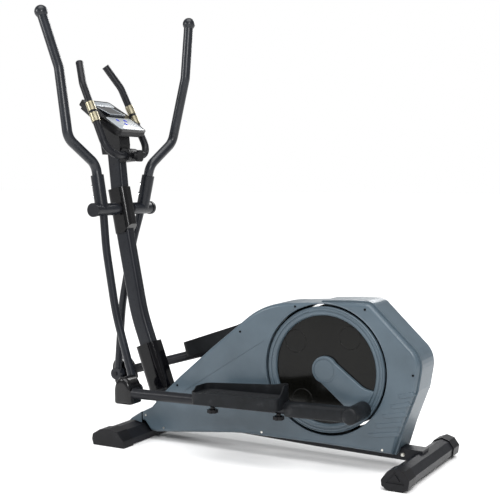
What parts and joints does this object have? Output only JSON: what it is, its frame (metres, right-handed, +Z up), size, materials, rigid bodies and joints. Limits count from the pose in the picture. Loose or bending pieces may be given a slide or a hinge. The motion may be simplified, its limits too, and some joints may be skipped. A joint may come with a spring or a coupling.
{
  "type": "elliptical trainer",
  "caption": "Rear-drive elliptical trainer: crank discs in a shroud drive level pedal arms, and swinging handles pivot on a mast with a console and fixed bar.",
  "frame": {"origin": "centre of the footprint on the floor", "axes": "+X towards the rear (crank end), +Y towards the user's right, +Z up"},
  "size_m": [1.476, 0.616, 1.6487],
  "materials": {
    "frame_steel": "black powder coat, satin",
    "mast_steel": "dark slate powder coat, satin",
    "handle_grip": "smooth satin grip sleeve",
    "shroud_plastic": "slate blue moulded ABS, fine satin grain",
    "boot_plastic": "high gloss black ABS",
    "black_plastic": "black moulded ABS",
    "disc_plastic": "gloss black moulding",
    "tray_plastic": "charcoal moulded polypropylene",
    "zinc_steel": "zinc plated",
    "chrome_steel": "polished chrome plate",
    "pulse_steel": "satin stainless contact plates",
    "cast_flywheel": "turned cast iron",
    "belt_rubber": "ribbed drive belt",
    "console_face": "silver grey satin face",
    "screen_window": "tinted display hood",
    "button_blue": "blue tinted buttons",
    "magnet_steel": "bare steel shoe with magnets"
  },
  "bodies": {
    "frame": {"base_frame": "frame_steel", "front_stabiliser": "frame_steel", "front_cap_left": "black_plastic", "front_cap_right": "black_plastic", "rear_stabiliser": "frame_steel", "rear_cap_left": "black_plastic", "rear_cap_right": "black_plastic", "mast": "mast_steel", "mast_boot": "boot_plastic", "mast_collar": "black_plastic", "pivot_shaft": "frame_steel", "shroud_left": "shroud_plastic", "shroud_right": "shroud_plastic", "shroud_rear_cap": "shroud_plastic", "shroud_nose": "shroud_plastic", "panel_screws": "zinc_steel", "frame_bolts": "zinc_steel", "console_neck": "black_plastic", "console_tray": "black_plastic", "console_bezel": "console_face", "console_screen": "screen_window", "handlebar_clamp": "black_plastic", "crank_bearings": "zinc_steel", "drive_belt": "belt_rubber", "flywheel_axle": "zinc_steel", "brake_motor": "black_plastic", "power_inlet": "black_plastic"},
    "crank": {"crank_axle": "zinc_steel", "crank_arm_left": "frame_steel", "crank_arm_right": "frame_steel", "crank_disc_left": "disc_plastic", "crank_disc_right": "disc_plastic", "crank_ring_left": "shroud_plastic", "crank_ring_right": "shroud_plastic", "drive_pulley": "black_plastic"},
    "pedal_left": {"pedal_arm_left": "frame_steel", "foot_tray_left": "tray_plastic", "joint_cover_left": "black_plastic"},
    "pedal_right": {"pedal_arm_right": "frame_steel", "foot_tray_right": "tray_plastic", "joint_cover_right": "black_plastic"},
    "flywheel": {"flywheel": "cast_flywheel"},
    "idler": {"idler_wheel": "black_plastic"},
    "brake": {"brake_magnets": "magnet_steel"},
    "swing_left": {"swing_arm_left": "mast_steel", "handle_left": "handle_grip", "handle_bolts_left": "chrome_steel"},
    "swing_right": {"swing_arm_right": "mast_steel", "handle_right": "handle_grip", "handle_bolts_right": "chrome_steel"},
    "handlebar": {"handlebar": "frame_steel", "pulse_plates": "pulse_steel"},
    "clamp_knob": {"clamp_knob": "black_plastic"},
    "mode_button": {"mode_button": "button_blue"},
    "up_button": {"up_button": "button_blue"},
    "down_button": {"down_button": "button_blue"},
    "tray_knob_left_front": {"tray_knob_left_front": "black_plastic"},
    "tray_knob_left_rear": {"tray_knob_left_rear": "black_plastic"},
    "tray_knob_right_front": {"tray_knob_right_front": "black_plastic"},
    "tray_knob_right_rear": {"tray_knob_right_rear": "black_plastic"}
  },
  "joints": [
    {"name": "crank_spin", "type": "hinge", "parent": "frame", "child": "crank", "pos_m": [0.358, 0, 0.335], "axis": [0, 1, 0], "continuous": true},
    {"name": "flywheel_spin", "type": "hinge", "parent": "frame", "child": "flywheel", "pos_m": [0.028, 0, 0.25], "axis": [0, 1, 0], "continuous": true},
    {"name": "idler_spin", "type": "hinge", "parent": "frame", "child": "idler", "pos_m": [0.195, 0.008, 0.18854], "axis": [0, 1, 0], "continuous": true},
    {"name": "brake_shoe_swing", "type": "hinge", "parent": "frame", "child": "brake", "pos_m": [-0.09032, -0.016, 0.18709], "axis": [0, 1, 0], "range_deg": [-5, 0]},
    {"name": "swing_left_pivot", "type": "hinge", "parent": "frame", "child": "swing_left", "pos_m": [-0.554, -0.115, 0.88], "axis": [0, 1, 0], "range_deg": [-4.4, 28.3]},
    {"name": "swing_right_pivot", "type": "hinge", "parent": "frame", "child": "swing_right", "pos_m": [-0.554, 0.115, 0.88], "axis": [0, 1, 0], "range_deg": [-28.3, 4.4]},
    {"name": "pedal_left_joint", "type": "hinge", "parent": "swing_left", "child": "pedal_left", "pos_m": [-0.40996, -0.192, 0.19805], "axis": [0, 1, 0], "range_deg": [-28.3, 4.4]},
    {"name": "pedal_right_joint", "type": "hinge", "parent": "swing_right", "child": "pedal_right", "pos_m": [-0.67834, 0.192, 0.19418], "axis": [0, 1, 0], "range_deg": [-4.4, 28.3]},
    {"name": "handlebar_tilt", "type": "hinge", "parent": "frame", "child": "handlebar", "pos_m": [-0.52, 0, 1.09], "axis": [0, 1, 0], "range_deg": [-6, 10]},
    {"name": "clamp_knob_turn", "type": "hinge", "parent": "frame", "child": "clamp_knob", "pos_m": [-0.48, 0, 1.086], "axis": [1, 0, 0], "range_deg": [0, 360]},
    {"name": "mode_button_press", "type": "slide", "parent": "frame", "child": "mode_button", "axis": [-0.5446, 0, -0.8387], "range_m": [0, 0.0015], "stiffness_N_per_m": 400},
    {"name": "up_button_press", "type": "slide", "parent": "frame", "child": "up_button", "axis": [-0.5446, 0, -0.8387], "range_m": [0, 0.0015], "stiffness_N_per_m": 400},
    {"name": "down_button_press", "type": "slide", "parent": "frame", "child": "down_button", "axis": [-0.5446, 0, -0.8387], "range_m": [0, 0.0015], "stiffness_N_per_m": 400},
    {"name": "tray_knob_left_front_turn", "type": "hinge", "parent": "pedal_left", "child": "tray_knob_left_front", "pos_m": [-0.02903, -0.192, 0.20529], "axis": [-0.019, 0, 0.9998], "range_deg": [0, 360]},
    {"name": "tray_knob_left_rear_turn", "type": "hinge", "parent": "pedal_left", "child": "tray_knob_left_rear", "pos_m": [0.23592, -0.192, 0.21033], "axis": [-0.019, 0, 0.9998], "range_deg": [0, 360]},
    {"name": "tray_knob_right_front_turn", "type": "hinge", "parent": "pedal_right", "child": "tray_knob_right_front", "pos_m": [-0.31287, 0.192, 0.30184], "axis": [-0.2826, 0, 0.9592], "range_deg": [0, 360]},
    {"name": "tray_knob_right_rear_turn", "type": "hinge", "parent": "pedal_right", "child": "tray_knob_right_rear", "pos_m": [-0.05867, 0.192, 0.37673], "axis": [-0.2826, 0, 0.9592], "range_deg": [0, 360]}
  ],
  "couplings": [
    {"joint": "pedal_left_joint", "follows": "swing_left_pivot", "ratio": -1},
    {"joint": "pedal_right_joint", "follows": "swing_left_pivot", "ratio": 1},
    {"joint": "flywheel_spin", "follows": "crank_spin", "ratio": 5.9362},
    {"joint": "idler_spin", "follows": "crank_spin", "ratio": -7.05},
    {"joint": "swing_right_pivot", "follows": "swing_left_pivot", "ratio": -1}
  ]
}
